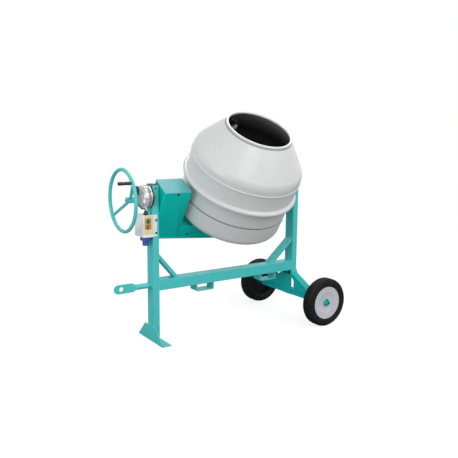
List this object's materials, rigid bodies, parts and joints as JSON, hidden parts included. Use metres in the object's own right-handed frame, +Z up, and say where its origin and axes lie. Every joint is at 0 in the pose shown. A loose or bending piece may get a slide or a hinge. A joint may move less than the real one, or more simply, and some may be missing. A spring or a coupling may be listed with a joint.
{
  "type": "tilting drum concrete mixer",
  "caption": "Towable concrete mixer: a conical-mouthed drum on a tilting yoke between two columns, turned by a belt drive and tipped by a geared handwheel.",
  "frame": {"origin": "on the floor, at the middle of the object's box in X and Y", "axes": "+X along the main beam from the tow eye to the wheels, -Y the side the drum leans to at rest, +Z up"},
  "size_m": [1.8855, 1.0704, 1.7472],
  "materials": {
    "paint_frame": "gloss teal paint",
    "paint_cover": "gloss teal paint",
    "paint_axle": "gloss teal paint",
    "paint_drum": "satin light grey paint",
    "blade_steel": "worn bare steel",
    "wheel_paint": "satin grey paint",
    "tyre_rubber": "matt black rubber",
    "zinc": "zinc plated",
    "cast_alloy": "as cast",
    "cast_iron": "machined cast iron",
    "bronze": "plain bearing bronze",
    "black_steel": "black paint",
    "black_plastic": "moulded black plastic",
    "cable_rubber": "black rubber sheath",
    "box_plastic": "moulded off-white plastic",
    "plate_yellow": "yellow plate",
    "button_green": "dark green plastic",
    "button_red": "orange-red plastic",
    "inlet_blue": "blue plastic"
  },
  "bodies": {
    "frame": {"left_column": "paint_frame", "right_column": "paint_frame", "column_caps": "black_plastic", "main_beam": "paint_frame", "left_brace": "paint_frame", "right_brace": "paint_frame", "foot": "paint_frame", "tow_bar": "paint_frame", "fork_straps": "paint_frame", "axle_bracket": "paint_axle", "axle_bolts": "black_steel", "axle_tube": "paint_axle", "axle_struts": "paint_axle", "axle_washers": "paint_axle", "axle_pins": "black_steel", "trunnion_bushes": "bronze", "gearbox_flange": "black_steel", "gearbox_body": "cast_alloy", "gearbox_cover": "cast_alloy", "gearbox_bolts": "zinc", "cable_elbow": "black_plastic", "motor_cable": "cable_rubber", "cable_gland": "black_plastic", "switch_box": "box_plastic", "switch_plate": "plate_yellow", "switch_screws": "black_steel", "power_inlet": "inlet_blue"},
    "yoke": {"yoke_left_arm": "paint_cover", "yoke_right_arm": "paint_cover", "yoke_sides": "paint_cover", "yoke_web": "paint_cover", "belly_plate": "paint_cover", "trunnions": "zinc", "tilt_ring_gear": "zinc", "transmission_cover": "paint_cover", "cover_screws": "black_steel", "gear_motor": "cast_alloy", "drive_belt": "cable_rubber", "upper_bearing": "cast_iron", "lower_bearing": "cast_iron"},
    "drum": {"drum_lower": "paint_drum", "drum_upper": "paint_drum", "mixing_blades": "blade_steel", "drum_hub": "cast_iron", "hub_bolts": "zinc", "drum_shaft": "zinc", "driven_pulley": "cast_iron"},
    "drive_pulley": {"drive_pulley": "cast_iron"},
    "handwheel": {"handwheel_rim": "paint_frame", "handwheel_spokes": "paint_frame", "handwheel_shaft": "zinc", "tilt_pinion": "zinc", "grip_pin": "zinc"},
    "grip": {"grip": "black_plastic"},
    "wheel_near": {"tyre_near": "tyre_rubber", "rim_near": "wheel_paint"},
    "wheel_far": {"tyre_far": "tyre_rubber", "rim_far": "wheel_paint"},
    "start_button": {"start_button": "button_green"},
    "stop_button": {"stop_button": "button_red"}
  },
  "joints": [
    {"name": "yoke_tilt", "type": "hinge", "parent": "frame", "child": "yoke", "pos_m": [0.06475, 0.03822, 1.11], "axis": [1, 0, 0], "range_deg": [-155, 90]},
    {"name": "drum_spin", "type": "hinge", "parent": "yoke", "child": "drum", "pos_m": [0.12575, 0.022, 1.1001], "axis": [0, -0.521, 0.8536], "continuous": true},
    {"name": "drive_pulley_spin", "type": "hinge", "parent": "yoke", "child": "drive_pulley", "pos_m": [-0.44485, 0.16476, 0.86623], "axis": [0, -0.521, 0.8536], "continuous": true},
    {"name": "handwheel_spin", "type": "hinge", "parent": "frame", "child": "handwheel", "pos_m": [-0.73525, 0.08391, 1.0857], "axis": [1, 0, 0], "range_deg": [-670, 392]},
    {"name": "grip_spin", "type": "hinge", "parent": "handwheel", "child": "grip", "pos_m": [-0.89525, -0.09335, 1.2267], "axis": [1, 0, 0], "continuous": true},
    {"name": "wheel_near_spin", "type": "hinge", "parent": "frame", "child": "wheel_near", "pos_m": [0.74275, -0.40078, 0.2], "axis": [0, 1, 0], "continuous": true},
    {"name": "wheel_far_spin", "type": "hinge", "parent": "frame", "child": "wheel_far", "pos_m": [0.74275, 0.47722, 0.2], "axis": [0, 1, 0], "continuous": true},
    {"name": "start_press", "type": "slide", "parent": "frame", "child": "start_button", "axis": [0, 1, 0], "range_m": [0, 0.004], "stiffness_N_per_m": 800, "springref_m": -0.002},
    {"name": "stop_press", "type": "slide", "parent": "frame", "child": "stop_button", "axis": [0, 1, 0], "range_m": [0, 0.004], "stiffness_N_per_m": 800, "springref_m": -0.002}
  ],
  "couplings": [
    {"joint": "handwheel_spin", "follows": "yoke_tilt", "ratio": 4.2857},
    {"joint": "drive_pulley_spin", "follows": "drum_spin", "ratio": 3}
  ]
}
